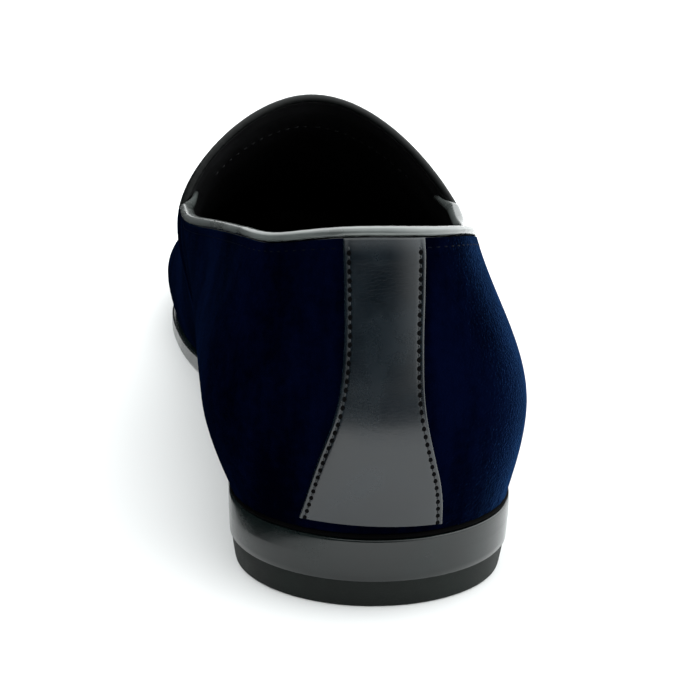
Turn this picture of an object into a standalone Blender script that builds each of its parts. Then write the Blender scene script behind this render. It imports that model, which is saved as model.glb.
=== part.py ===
# Velvet slipper loafer, right shoe, standing empty on its sole.
# Sizes are in millimetres and the meshes are made in metres. The toe points along +Y and the shoe's outer side
# along +X. Stations run from the back of the heel seat to the tip of the toe.
import bisect
import math

import bmesh
import bpy
import numpy as np

MM = 0.001

# Driving dimensions
LENGTH = 281.0            # heel seat, back to toe
BALL_WIDTH = 97.0         # across the upper at the ball
INSTEP_HEIGHT = 89.0      # floor to the top of the tongue
TOP_LIFT = 6.2
HEEL_BASE = 5.1
SOLE = 4.5
GAP = 0.3                 # between pieces that meet
HEEL_HEIGHT = TOP_LIFT + GAP + HEEL_BASE + GAP
WALL = 2.2                # velvet, interlining and leather lining together
VAMP_STEP = 0.8           # the vamp lies over the quarters by this much
SEAM_SLOPE = 0.5          # length over which the wall steps up at the side seam
TOE_SPRING = 9.0          # sole's underside at the tip of the toe
TOE_TIP = -4.0            # sideways place of the toe's tip

# Places along the shoe
HEEL_TURN = 30.0          # behind this the sections fan round the heel
HEEL_BREAST = 64.0
THROAT = 118.0            # corner where the tongue meets the quarters
TREAD = (174.0, 204.0)    # flat part of the sole that stands on the floor
TOE_TURN = 232.0          # past this the sections fan round the toe
TONGUE_LEAN = {"seat": -14.0, "girth": -6.0, "top": 0.0, "ridge": 12.0}
LEAN_REACH = 36.0         # how fast the lean of the seam dies away along the shoe

# Half widths from the heel's centre line, in hundredths of the ball width
WIDTH_COLUMNS = ("along", "seat_in", "seat_out", "girth_in", "girth_out", "top_in", "top_out", "ridge_in")
WIDTH_ROWS = (
    (30.0, 31.5, 32.8, 38.8, 36.7, 30.5, 23.5, 1.0),
    (60.0, 30.7, 31.9, 39.2, 37.0, 36.7, 28.3, 3.2),
    (90.0, 28.5, 32.0, 38.5, 38.4, 42.0, 30.6, 5.5),
    (118.0, 28.5, 34.0, 39.2, 41.0, 42.8, 31.8, 7.0),
    (150.0, 33.5, 39.5, 40.7, 45.0, 40.0, 32.5, 7.0),
    (180.0, 40.5, 45.0, 44.0, 50.0, 38.0, 34.5, 6.5),
    (205.0, 43.0, 45.3, 45.6, 48.8, 37.0, 33.5, 6.0),
    (232.0, 40.5, 40.0, 43.0, 42.5, 33.0, 28.0, 5.0),
)
# Heights of the same lines above the floor, in hundredths of the instep height
HEIGHT_COLUMNS = ("along", "girth", "top_in", "top_out", "ridge")
HEIGHT_ROWS = (
    (3.0, 42.9, 92.4, 92.4, 110.0),
    (14.0, 42.5, 87.9, 89.8, 110.0),
    (30.0, 42.0, 85.1, 84.8, 110.0),
    (60.0, 41.5, 77.2, 75.8, 110.0),
    (90.0, 40.5, 70.6, 69.8, 108.0),
    (118.0, 39.0, 67.0, 68.2, 104.5),
    (130.0, 37.0, 64.0, 64.0, 98.0),
    (150.0, 33.0, 57.0, 57.0, 85.5),
    (180.0, 26.5, 46.0, 46.0, 69.5),
    (205.0, 23.5, 39.0, 39.0, 57.5),
    (232.0, 21.5, 34.5, 34.5, 47.5),
    (281.0, 20.5, 31.0, 31.0, 33.0),
)
# Where each line ends at the back of the heel and at the tip of the toe
HEEL_END = {"seat": 0.0, "girth": -4.0, "top": 3.0}
TOE_END = {"seat": LENGTH, "girth": LENGTH + 1.5, "top": LENGTH - 11.0}
TURN_FULLNESS = 0.555     # handle of the curve round heel and toe, 0.552 for an ellipse
CROWN_FULLNESS = 0.98     # how broadly the sections round over the ridge
COLLAR_TAUTNESS = 1.1     # 1 draws the quarters straight up to the topline, more hollows them under it

# Sole and heel edges: how far each row stands in from the full outline
SOLE_OVERHANG = {"heel": 0.8, "ball": 2.2}
SOLE_EDGE_ROWS = ((0.5, 1.0), (0.0, 0.82), (0.0, 0.2), (0.35, 0.0))      # inset, share of the sole's thickness
HEEL_BASE_ROWS = ((0.35, 1.0), (0.4, 0.5), (0.5, 0.0))                   # inset, share of the base's height
TOP_LIFT_ROWS = ((0.8, 1.0), (1.5, 0.15), (2.0, 0.0))                    # inset, share of the lift's height
BREAST_HOLLOW = 4.0
INSOLE = 3.0
INSOLE_CLEARANCE = 0.5

# Strap over the back seam
STRAP_COLUMNS = ("up", "half", "shift")
STRAP_ROWS = (
    (0.0, 15.1, -1.8),
    (0.1, 14.3, -1.4),
    (0.17, 13.5, -1.35),
    (0.25, 12.25, -1.4),
    (0.43, 9.3, -1.0),
    (0.65, 8.2, -0.65),
    (0.8, 8.25, -0.6),
    (1.0, 8.4, -0.8),
)
STRAP_THICK = 1.2
STRAP_FOOT = 3.5          # above the seat
STRAP_SLANT = 0.6         # the foot runs down towards the outer side

# Bindings: half width across the wall, half height above the edge
TOPLINE_ROLL = {"across": 1.75, "up": 1.0}
TONGUE_ROLL = {"across": 1.8, "up": 0.75}
TIP_TUCK = {"start": 13.0, "end": 3.0, "past": 5.0, "inward": 3.9}


class Track:
    """Smooth curve through one column of a table."""

    def __init__(self, places, values):
        self.places, self.values = list(places), list(values)
        self.slopes = [float(m) for m in np.gradient(self.values, self.places)]

    def at(self, x):
        """Value and slope at a place."""
        i = min(max(bisect.bisect_right(self.places, x) - 1, 0), len(self.places) - 2)
        span = self.places[i + 1] - self.places[i]
        t = (x - self.places[i]) / span
        a, b, ma, mb = self.values[i], self.values[i + 1], self.slopes[i] * span, self.slopes[i + 1] * span
        value = a + t * ma + t * t * (3 * (b - a) - 2 * ma - mb) + t ** 3 * (2 * (a - b) + ma + mb)
        slope = (ma + 2 * t * (3 * (b - a) - 2 * ma - mb) + 3 * t * t * (2 * (a - b) + ma + mb)) / span
        return value, slope


def tracks(columns, rows, unit):
    places = [row[0] for row in rows]
    return {name: Track(places, [row[k] * unit / 100 for row in rows])
            for k, name in enumerate(columns) if k > 0}


WIDTHS = tracks(WIDTH_COLUMNS, WIDTH_ROWS, BALL_WIDTH)
HEIGHTS = tracks(HEIGHT_COLUMNS, HEIGHT_ROWS, INSTEP_HEIGHT)
STRAP = tracks(STRAP_COLUMNS, STRAP_ROWS, 100)


def ease(t):
    t = min(max(t, 0.0), 1.0)
    return t * t * (3 - 2 * t)


def underside(y):
    """Bottom of the outsole: level over the heel, down through the waist, flat at the tread, up at the toe."""
    if y <= TREAD[0]:
        return HEEL_HEIGHT * (1 - ease((y - HEEL_BREAST) / (TREAD[0] - HEEL_BREAST)))
    if y <= TREAD[1]:
        return 0.0
    return TOE_SPRING * ((y - TREAD[1]) / (LENGTH - TREAD[1])) ** 1.8


def level_height(line, side, y):
    if line == "seat":
        return underside(y) + SOLE + GAP
    if line == "top":
        line = "top_out" if side > 0 else "top_in"
    return HEIGHTS[line].at(min(max(y, 0.0), LENGTH))[0]


def turn(start, slope, end):
    """Quarter curve in plan, from the shoe's side round to its back or tip."""
    reach = end[1] - start[1]
    handle = (start[0] + TURN_FULLNESS * reach * slope, start[1] + TURN_FULLNESS * reach)
    far = (end[0] + TURN_FULLNESS * (start[0] - end[0]), end[1])

    def at(t):
        weights = ((1 - t) ** 3, 3 * t * (1 - t) ** 2, 3 * t * t * (1 - t), t ** 3)
        return [sum(w * p[k] for w, p in zip(weights, (start, handle, far, end))) for k in (0, 1)]
    return at


def line_point(line, station):
    """Point of one lengthwise line at a signed station: + on the shoe's outer side, - on its inner side."""
    side = 1 if station >= 0 else -1
    along = abs(station)
    column = line + ("_out" if side > 0 else "_in")
    if along < HEEL_TURN:
        half, slope = WIDTHS[column].at(HEEL_TURN)
        end = (0.0, HEEL_END[line])
        x, y = turn((side * half, HEEL_TURN), side * slope, end)(1 - along / HEEL_TURN)
    elif along > TOE_TURN:
        half, slope = WIDTHS[column].at(TOE_TURN)
        end = (TOE_TIP, TOE_END[line])
        x, y = turn((side * half, TOE_TURN), side * slope, end)((along - TOE_TURN) / (LENGTH - TOE_TURN))
    else:
        y = along + TONGUE_LEAN[line] * math.exp(-((along - THROAT) / LEAN_REACH) ** 2)
        x = side * WIDTHS[column].at(y)[0]
    return np.array((x, y, level_height(line, side, y)))


def ridge_point(station):
    along = min(max(abs(station), HEEL_TURN), TOE_TURN)
    y = along + TONGUE_LEAN["ridge"] * math.exp(-((along - THROAT) / LEAN_REACH) ** 2)
    y = min(y, TOE_TURN)
    z, slope = HEIGHTS["ridge"].at(y)
    return np.array((-WIDTHS["ridge_in"].at(y)[0], y, z)), slope


def column(station, levels):
    """Points up one section of the last: level 0 at the seat, 1 at the topline or shoulder, 2 at the ridge."""
    ridge, slope = ridge_point(station)
    knots = [line_point("seat", station), line_point("girth", station), line_point("top", station), ridge]
    outward, rise = np.array((math.copysign(1.0, station), 0.0)), 0.0
    if abs(station) > TOE_TURN:
        outward = knots[2][:2] - ridge[:2]
        outward = outward / np.linalg.norm(outward)
        rise = -slope * outward[1]
    at = np.cumsum([0.0] + [np.linalg.norm(b - a) for a, b in zip(knots, knots[1:])])
    chords = [(b - a) / (v - u) for a, b, u, v in zip(knots, knots[1:], at, at[1:])]
    tangents = [None] * 4
    for i in (1, 2):
        before, after = at[i] - at[i - 1], at[i + 1] - at[i]
        tangents[i] = (chords[i - 1] * after + chords[i] * before) / (before + after)
    taut = COLLAR_TAUTNESS * (1 - ease((abs(station) - HEEL_BREAST) / (THROAT - HEEL_BREAST)))
    tangents[2] = tangents[2] + taut * (chords[1] - tangents[2])
    tangents[0] = (3 * chords[0] - tangents[1]) / 2
    tangents[3] = CROWN_FULLNESS * np.array((-outward[0], -outward[1], rise))
    points = []
    for level in levels:
        place = level * at[2] if level <= 1 else at[2] + (level - 1) * (at[3] - at[2])
        i = int(np.clip(np.searchsorted(at, place) - 1, 0, 2))
        span = at[i + 1] - at[i]
        t = (place - at[i]) / span
        a, b, ma, mb = knots[i], knots[i + 1], tangents[i] * span, tangents[i + 1] * span
        points.append(a + t * ma + t * t * (3 * (b - a) - 2 * ma - mb) + t ** 3 * (2 * (a - b) + ma + mb))
    return np.array(points)


def wrapped(station):
    """A station past the toe's tip comes back along the other side."""
    if station > LENGTH:
        return station - 2 * LENGTH
    if station < -LENGTH:
        return station + 2 * LENGTH
    return station


def skin(station, levels, out=0.0):
    """The last's surface, moved out along its normal; also gives the normals."""
    step = 0.05
    levels = np.asarray(levels, float)
    here = column(station, levels)
    along = column(wrapped(station + step), levels) - column(wrapped(station - step), levels)
    low, high = np.maximum(levels - 0.01, 0.0), np.minimum(levels + 0.01, 2.0)
    up = column(station, high) - column(station, low)
    slope = ridge_point(station)[1]
    normals = np.cross(along, up)
    for i, level in enumerate(levels):
        if level >= 2:
            normals[i] = (0.0, -slope, 1.0)
        if level <= 0:
            normals[i, 2] = 0.0
        normals[i] /= np.linalg.norm(normals[i])
    return here + normals * np.asarray(out)[..., None], normals


class Solid:
    """Collects points and faces, and makes one closed mesh object of them."""

    def __init__(self):
        self.points = []
        self.faces = []

    def line(self, points):
        first = len(self.points)
        self.points.extend(np.asarray(points) * MM)
        return list(range(first, len(self.points)))

    def bridge(self, lines, closed=False):
        pairs = list(zip(lines, lines[1:])) + ([(lines[-1], lines[0])] if closed else [])
        for a, b in pairs:
            for i in range(len(a) - 1):
                self.faces.append((a[i], a[i + 1], b[i + 1], b[i]))

    def cap(self, line):
        self.faces.append(tuple(line))

    def make(self, name, look, merge=1e-5):
        mesh = bpy.data.meshes.new(name)
        mesh.from_pydata(self.points, [], self.faces)
        shape = bmesh.new()
        shape.from_mesh(mesh)
        bmesh.ops.remove_doubles(shape, verts=shape.verts, dist=merge)
        bmesh.ops.recalc_face_normals(shape, faces=shape.faces)
        shape.to_mesh(mesh)
        shape.free()
        mesh.shade_smooth()
        mesh.set_sharp_from_angle(angle=math.radians(40))
        mesh.materials.append(look)
        piece = bpy.data.objects.new(name, mesh)
        shoe.objects.link(piece)
        return piece


def finish(name, colour, roughness):
    look = bpy.data.materials.new(name)
    look.use_nodes = True
    shader = look.node_tree.nodes["Principled BSDF"]
    shader.inputs["Base Color"].default_value = (*colour, 1.0)
    shader.inputs["Roughness"].default_value = roughness
    shader.inputs["Metallic"].default_value = 0.0
    return look


def both_sides(stations):
    """Signed stations round the shoe, from stations between the heel's back and the toe's tip."""
    return list(stations) + [-s for s in reversed(stations) if 0 < s < LENGTH]


def make_upper(look):
    quarter = list(np.linspace(0, HEEL_TURN, 9)[:-1]) + list(np.linspace(HEEL_TURN, THROAT, 13))
    vamp = list(np.linspace(THROAT + SEAM_SLOPE, TOE_TURN, 15)) + list(np.linspace(TOE_TURN, LENGTH, 10)[1:])
    stations = both_sides(quarter + vamp)
    side_levels, crown_levels = np.linspace(0, 1, 10), np.linspace(1, 2, 7)
    solid = Solid()
    outer, inner, crowns = [], [], []
    for station in stations:
        is_vamp = abs(station) > THROAT
        step = VAMP_STEP if is_vamp else 0.0
        outer.append(solid.line(skin(station, side_levels, step)[0]))
        inner.append(solid.line(skin(station, side_levels, -WALL)[0]))
        if is_vamp:
            crowns.append((solid.line(skin(station, crown_levels, step)[0]),
                           solid.line(skin(station, crown_levels, -WALL)[0])))
    solid.bridge(outer, closed=True)
    solid.bridge(inner, closed=True)
    solid.bridge([c[0] for c in crowns])
    solid.bridge([c[1] for c in crowns])
    solid.bridge([(o[0], i[0]) for o, i in zip(outer, inner)], closed=True)
    first, last = len(quarter), len(stations) - len(quarter) + 1
    solid.bridge([(o[-1], i[-1]) for o, i in zip(outer[:first + 1], inner[:first + 1])])
    solid.bridge([(o[-1], i[-1]) for o, i in zip(outer[last - 1:] + outer[:1], inner[last - 1:] + inner[:1])])
    for crown in (crowns[0], crowns[-1]):
        solid.bridge(crown)
    return solid.make("upper", look)


def outline(station, out):
    """Point of the seat's outline in plan, moved out by a distance."""
    step = 0.05
    ahead, behind = (line_point("seat", wrapped(station + s))[:2] for s in (step, -step))
    tangent = (ahead - behind) / np.linalg.norm(ahead - behind)
    return line_point("seat", station)[:2] + out * np.array((tangent[1], -tangent[0]))


def spine(station):
    y = min(max(line_point("seat", station)[1], HEEL_TURN), TOE_TURN)
    return np.array((-WIDTHS["ridge_in"].at(y)[0], y))


def overhang(station):
    share = ease((abs(station) - HEEL_BREAST) / (TREAD[0] - HEEL_BREAST))
    return SOLE_OVERHANG["heel"] * (1 - share) + SOLE_OVERHANG["ball"] * share


def sole_stations():
    return both_sides(list(np.linspace(0, HEEL_TURN, 9)[:-1]) + list(np.linspace(HEEL_TURN, TREAD[0], 12)[:-1])
                      + list(np.linspace(*TREAD, 4)[:-1]) + list(np.linspace(TREAD[1], TOE_TURN, 4)[:-1])
                      + list(np.linspace(TOE_TURN, LENGTH, 10)))


def lay_plate(solid, edge_rows, spread, bottom, thick):
    """Closed plate that follows the sole's curve: edge rows round its outline, rings in to the spine."""
    rings = (0.93, 0.5, 0.0)
    columns = []
    for station in sole_stations():
        middle = spine(station)
        points = []
        for share in reversed(rings):
            rim = outline(station, spread(station) - edge_rows[0][0])
            points.append((middle + share * (rim - middle), 1.0))
        points += [(outline(station, spread(station) - inset), level) for inset, level in edge_rows]
        for share in rings:
            rim = outline(station, spread(station) - edge_rows[-1][0])
            points.append((middle + share * (rim - middle), 0.0))
        columns.append(solid.line([(p[0], p[1], bottom(p[1]) + level * thick) for p, level in points]))
    solid.bridge(columns, closed=True)


def make_outsole(look):
    solid = Solid()
    lay_plate(solid, SOLE_EDGE_ROWS, overhang, underside, SOLE)
    return solid.make("outsole", look)


def make_insole(look):
    solid = Solid()
    edge_rows = ((0.6, 1.0), (0.0, 0.7), (0.0, 0.0))
    lay_plate(solid, edge_rows, lambda station: -(WALL + INSOLE_CLEARANCE),
              lambda y: underside(y) + SOLE + GAP, INSOLE)
    return solid.make("insole", look)


def make_heel_layer(name, look, rows, bottom, thick):
    """One layer of the heel: the sole's outline back from the breast, which is hollowed a little."""
    solid = Solid()
    loops = []
    stations = np.concatenate((np.linspace(-HEEL_BREAST, -HEEL_TURN, 5)[:-1], np.linspace(-HEEL_TURN, HEEL_TURN, 19),
                               np.linspace(HEEL_TURN, HEEL_BREAST, 5)[1:]))
    for inset, level in rows:
        ring = [outline(s, overhang(s) - inset) for s in stations]
        first, last = ring[0], ring[-1]
        for t in np.linspace(0, 1, 9)[1:-1]:
            hollow = BREAST_HOLLOW * (1 - (2 * t - 1) ** 2)
            ring.append(last + t * (first - last) - np.array((0.0, hollow)))
        loops.append(solid.line([(x, y, bottom + level * thick) for x, y in ring]))
    solid.bridge([loop + loop[:1] for loop in loops])
    solid.cap(loops[0])
    solid.cap(loops[-1])
    return solid.make(name, look)


def station_at_x(x, level):
    """Station round the heel whose point at this level lies this far sideways."""
    stations = np.linspace(-HEEL_TURN, HEEL_TURN, 41)
    return float(np.interp(x, [column(s, [level])[0, 0] for s in stations], stations))


def make_back_strap(look):
    back = np.linspace(0, 1, 60)
    heights = column(0.0, back)[:, 2]
    low = level_height("seat", 1, 0.0) + STRAP_FOOT
    high = heights[-1] - GAP
    solid = Solid()
    columns = []
    across = np.linspace(-1, 1, 11)
    for share_across in across:
        outer, inner = [], []
        for share_up in np.linspace(0, 1, 15):
            half, shift = STRAP["half"].at(share_up)[0], STRAP["shift"].at(share_up)[0]
            slant = STRAP_SLANT * share_across * (1 - share_up) ** 6
            z = low + share_up * (high - low) - slant
            level = float(np.interp(z, heights, back))
            station = station_at_x(shift + share_across * half, level)
            outer.append(skin(station, [level], GAP + STRAP_THICK)[0][0])
            inner.append(skin(station, [level], GAP)[0][0])
        columns.append(solid.line(outer + inner[::-1]))
    solid.bridge([c + c[:1] for c in columns])
    solid.cap(columns[0])
    solid.cap(columns[-1])
    return solid.make("back_strap", look)


def roll_ring(centre, out, up, size, sides=10):
    """Rounded section of a binding."""
    ring = []
    for k in range(sides):
        angle = 2 * math.pi * (k + 0.5) / sides
        c, s = math.cos(angle), math.sin(angle)
        fatness = (abs(c) ** 3 + abs(s) ** 3) ** (-1 / 3)
        ring.append(centre + out * size["across"] * fatness * c + up * size["up"] * fatness * s)
    return ring


def sweep_roll(name, look, rings):
    solid = Solid()
    loops = [solid.line(ring) for ring in rings]
    solid.bridge([loop + loop[:1] for loop in loops])
    solid.cap(loops[0])
    solid.cap(loops[-1])
    return solid.make(name, look)


def edge_frame(station, level, before):
    """Point, outward normal and the direction that leaves the edge, square to each other."""
    point, normal = (v[0] for v in skin(station, [level]))
    away = before(station, level)
    away = away - normal * np.dot(away, normal)
    return point, normal, away / np.linalg.norm(away)


def make_topline_binding(look):
    half = list(np.linspace(0, HEEL_TURN, 10)[:-1]) + list(np.linspace(HEEL_TURN, THROAT - TIP_TUCK["start"], 12)[:-1])
    tips = np.linspace(THROAT - TIP_TUCK["start"], THROAT + TIP_TUCK["past"], 9)
    stations = half + list(tips)
    rings = []
    for station in [-s for s in reversed(stations)] + stations[1:]:
        point, normal, up = edge_frame(station, 1.0, lambda s, v: column(s, [v])[0] - column(s, [v - 0.02])[0])
        reach = TIP_TUCK["start"] - TIP_TUCK["end"]
        tucked = ease((abs(station) - THROAT + TIP_TUCK["start"]) / reach)
        centre = point + up * (GAP + TOPLINE_ROLL["up"]) - normal * (WALL / 2 + tucked * TIP_TUCK["inward"])
        rings.append(roll_ring(centre, normal, up, TOPLINE_ROLL))
    return sweep_roll("topline_binding", look, rings)


def make_tongue_binding(look):
    edge = THROAT + SEAM_SLOPE
    levels = list(np.linspace(1.08, 2.0, 15))
    rings = []
    for side, run in ((1, levels), (-1, levels[-2::-1])):
        for level in run:
            point, normal, away = edge_frame(
                side * edge, level, lambda s, v: column(s * (1 - 0.1 / edge), [v])[0] - column(s, [v])[0])
            centre = point + away * (GAP + TONGUE_ROLL["up"]) + normal * (VAMP_STEP - WALL) / 2
            rings.append(roll_ring(centre, normal, away, TONGUE_ROLL))
    return sweep_roll("tongue_binding", look, rings)


def stand_at_middle(pieces):
    """Moves the shoe so that its origin is the middle of its footprint, on the floor."""
    points = np.array([v.co[:] for piece in pieces for v in piece.data.vertices])
    low, high = points.min(axis=0), points.max(axis=0)
    middle = ((low[0] + high[0]) / 2, (low[1] + high[1]) / 2, low[2])
    for piece in pieces:
        for vertex in piece.data.vertices:
            vertex.co = [a - b for a, b in zip(vertex.co, middle)]


for old in list(bpy.data.objects):
    bpy.data.objects.remove(old, do_unlink=True)

shoe = bpy.data.collections.new("velvet_slipper_loafer")
bpy.context.scene.collection.children.link(shoe)

velvet = finish("navy_velvet", (0.008, 0.012, 0.05), 0.9)
leather = finish("black_leather", (0.012, 0.012, 0.014), 0.35)
edge_paint = finish("black_edge_paint", (0.02, 0.022, 0.022), 0.2)
rubber = finish("dark_rubber", (0.015, 0.013, 0.011), 0.7)
sock = finish("black_sock_leather", (0.01, 0.01, 0.012), 0.5)

stand_at_middle([
    make_upper(velvet),
    make_topline_binding(leather),
    make_tongue_binding(leather),
    make_back_strap(leather),
    make_insole(sock),
    make_outsole(edge_paint),
    make_heel_layer("heel_base", edge_paint, HEEL_BASE_ROWS, TOP_LIFT + GAP, HEEL_BASE),
    make_heel_layer("heel_top_lift", rubber, TOP_LIFT_ROWS, 0.0, TOP_LIFT),
])
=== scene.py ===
import bisect
import math

import bmesh
import bpy
import numpy as np
from mathutils import Matrix, Vector


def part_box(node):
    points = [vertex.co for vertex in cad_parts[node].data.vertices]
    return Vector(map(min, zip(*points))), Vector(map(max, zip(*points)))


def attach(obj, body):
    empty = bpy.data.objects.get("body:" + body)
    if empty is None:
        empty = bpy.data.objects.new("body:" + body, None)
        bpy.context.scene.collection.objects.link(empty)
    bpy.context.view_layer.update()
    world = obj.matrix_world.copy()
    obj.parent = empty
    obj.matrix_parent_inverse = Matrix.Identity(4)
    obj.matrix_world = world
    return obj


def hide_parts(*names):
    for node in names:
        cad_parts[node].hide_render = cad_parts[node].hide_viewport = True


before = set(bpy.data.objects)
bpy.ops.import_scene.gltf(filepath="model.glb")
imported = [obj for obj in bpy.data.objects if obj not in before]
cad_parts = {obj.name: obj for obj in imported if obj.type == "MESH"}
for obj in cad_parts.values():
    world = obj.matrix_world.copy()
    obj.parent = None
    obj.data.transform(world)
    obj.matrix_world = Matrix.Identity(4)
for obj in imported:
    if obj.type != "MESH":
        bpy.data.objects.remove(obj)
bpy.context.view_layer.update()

# Velvet slipper loafer, right shoe. Sizes are in millimetres, measured from the back of the heel seat,
# with the toe along +Y and the outer side along +X. Meshes are moved into the frame when they are made.
mm = 0.001


# The last: the same driving sizes and short tables as the solids, read at a finer step
last = {
    "length": 281.0,
    "ballWidth": 97.0,
    "instepHeight": 89.0,
    "topLift": 6.2,
    "heelBase": 5.1,
    "breastHollow": 4.0,
    "sole": 4.5,
    "gap": 0.3,
    "wall": 2.2,
    "vampStep": 0.8,
    "seamSlope": 0.5,
    "toeSpring": 9.0,
    "toeTip": -4.0,
    "heelTurn": 30.0,
    "breast": 64.0,
    "throat": 118.0,
    "tread": (174.0, 204.0),
    "toeTurn": 232.0,
    "turnFullness": 0.555,
    "crownFullness": 0.98,
    "collarTautness": 1.1,
    "lean": {"seat": -14.0, "girth": -6.0, "top": 0.0, "ridge": 12.0},
    "leanReach": 36.0,
    "heelEnd": {"seat": 0.0, "girth": -4.0, "top": 3.0},
    "toeEnd": {"seat": 281.0, "girth": 282.5, "top": 270.0},
    "overhangHeel": 0.8,
    "overhangBall": 2.2,
}
last["heelHeight"] = last["topLift"] + last["heelBase"] + 2 * last["gap"]

# Half widths in hundredths of the ball width
widthColumns = ("along", "seatIn", "seatOut", "girthIn", "girthOut", "topIn", "topOut", "ridgeIn")
widthRows = (
    (30.0, 31.5, 32.8, 38.8, 36.7, 30.5, 23.5, 1.0),
    (60.0, 30.7, 31.9, 39.2, 37.0, 36.7, 28.3, 3.2),
    (90.0, 28.5, 32.0, 38.5, 38.4, 42.0, 30.6, 5.5),
    (118.0, 28.5, 34.0, 39.2, 41.0, 42.8, 31.8, 7.0),
    (150.0, 33.5, 39.5, 40.7, 45.0, 40.0, 32.5, 7.0),
    (180.0, 40.5, 45.0, 44.0, 50.0, 38.0, 34.5, 6.5),
    (205.0, 43.0, 45.3, 45.6, 48.8, 37.0, 33.5, 6.0),
    (232.0, 40.5, 40.0, 43.0, 42.5, 33.0, 28.0, 5.0),
)
# Heights in hundredths of the instep height
heightColumns = ("along", "girth", "topIn", "topOut", "ridge")
heightRows = (
    (3.0, 42.9, 92.4, 92.4, 110.0),
    (14.0, 42.5, 87.9, 89.8, 110.0),
    (30.0, 42.0, 85.1, 84.8, 110.0),
    (60.0, 41.5, 77.2, 75.8, 110.0),
    (90.0, 40.5, 70.6, 69.8, 108.0),
    (118.0, 39.0, 67.0, 68.2, 104.5),
    (130.0, 37.0, 64.0, 64.0, 98.0),
    (150.0, 33.0, 57.0, 57.0, 85.5),
    (180.0, 26.5, 46.0, 46.0, 69.5),
    (205.0, 23.5, 39.0, 39.0, 57.5),
    (232.0, 21.5, 34.5, 34.5, 47.5),
    (281.0, 20.5, 31.0, 31.0, 33.0),
)
toplineWaves = (                # the quarters' soft edge doesn't run quite even
    {"at": -34.0, "width": 11.0, "height": -0.45},
    {"at": -60.0, "width": 14.0, "height": 0.35},
    {"at": 52.0, "width": 16.0, "height": -0.3},
)
# Small steps over which the directions of the surface and of its edges are taken
nudge = {"station": 0.05, "level": 0.01, "edgeStation": 0.1, "edgeLevel": 0.02}


def cubic(a, b, ma, mb, t):
    return a + t * ma + t * t * (3 * (b - a) - 2 * ma - mb) + t ** 3 * (2 * (a - b) + ma + mb)


def cubicSlope(a, b, ma, mb, t):
    return ma + 2 * t * (3 * (b - a) - 2 * ma - mb) + 3 * t * t * (2 * (a - b) + ma + mb)


class Track:                    # smooth curve through one column of a table
    def __init__(self, places, values):
        self.places, self.values = list(places), list(values)
        self.slopes = [float(m) for m in np.gradient(self.values, self.places)]

    def at(self, x):            # value and slope
        i = min(max(bisect.bisect_right(self.places, x) - 1, 0), len(self.places) - 2)
        span = self.places[i + 1] - self.places[i]
        ends = self.values[i], self.values[i + 1], self.slopes[i] * span, self.slopes[i + 1] * span
        t = (x - self.places[i]) / span
        return cubic(*ends, t), cubicSlope(*ends, t) / span


def tracks(columns, rows, unit=100.0):
    places = [row[0] for row in rows]
    return {name: Track(places, [row[k] * unit / 100 for row in rows])
            for k, name in enumerate(columns) if k}


widths = tracks(widthColumns, widthRows, last["ballWidth"])
heights = tracks(heightColumns, heightRows, last["instepHeight"])


def ease(t):
    t = min(max(t, 0.0), 1.0)
    return t * t * (3 - 2 * t)


def underside(y):
    start, end = last["tread"]
    if y <= start:
        return last["heelHeight"] * (1 - ease((y - last["breast"]) / (start - last["breast"])))
    if y <= end:
        return 0.0
    return last["toeSpring"] * ((y - end) / (last["length"] - end)) ** 1.8


def turn(start, slope, end, t):     # the curve round the heel or the toe
    reach = end[1] - start[1]
    fullness = last["turnFullness"]
    handle = (start[0] + fullness * reach * slope, start[1] + fullness * reach)
    far = (end[0] + fullness * (start[0] - end[0]), end[1])
    weights = ((1 - t) ** 3, 3 * t * (1 - t) ** 2, 3 * t * t * (1 - t), t ** 3)
    return [sum(w * p[k] for w, p in zip(weights, (start, handle, far, end))) for k in (0, 1)]


def lean(line, along):
    return last["lean"][line] * math.exp(-((along - last["throat"]) / last["leanReach"]) ** 2)


def linePoint(line, station):   # a station is + on the outer side and - on the inner side
    side = 1 if station >= 0 else -1
    along = abs(station)
    which = "Out" if side > 0 else "In"
    half = widths[line + which]
    if along < last["heelTurn"]:
        w, slope = half.at(last["heelTurn"])
        start, end = (side * w, last["heelTurn"]), (0.0, last["heelEnd"][line])
        x, y = turn(start, side * slope, end, 1 - along / last["heelTurn"])
    elif along > last["toeTurn"]:
        w, slope = half.at(last["toeTurn"])
        start, end = (side * w, last["toeTurn"]), (last["toeTip"], last["toeEnd"][line])
        share = (along - last["toeTurn"]) / (last["length"] - last["toeTurn"])
        x, y = turn(start, side * slope, end, share)
    else:
        y = along + lean(line, along)
        x = side * half.at(y)[0]
    if line == "seat":
        return np.array((x, y, underside(y) + last["sole"] + last["gap"]))
    level = heights["top" + which if line == "top" else line]
    z = level.at(min(max(y, 0.0), last["length"]))[0]
    if line == "top":
        z += sum(wave["height"] * math.exp(-((station - wave["at"]) / wave["width"]) ** 2)
                 for wave in toplineWaves)
    return np.array((x, y, z))


def ridgePoint(station):
    along = min(max(abs(station), last["heelTurn"]), last["toeTurn"])
    y = min(along + lean("ridge", along), last["toeTurn"])
    z, slope = heights["ridge"].at(y)
    return np.array((-widths["ridgeIn"].at(y)[0], y, z)), slope


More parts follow.
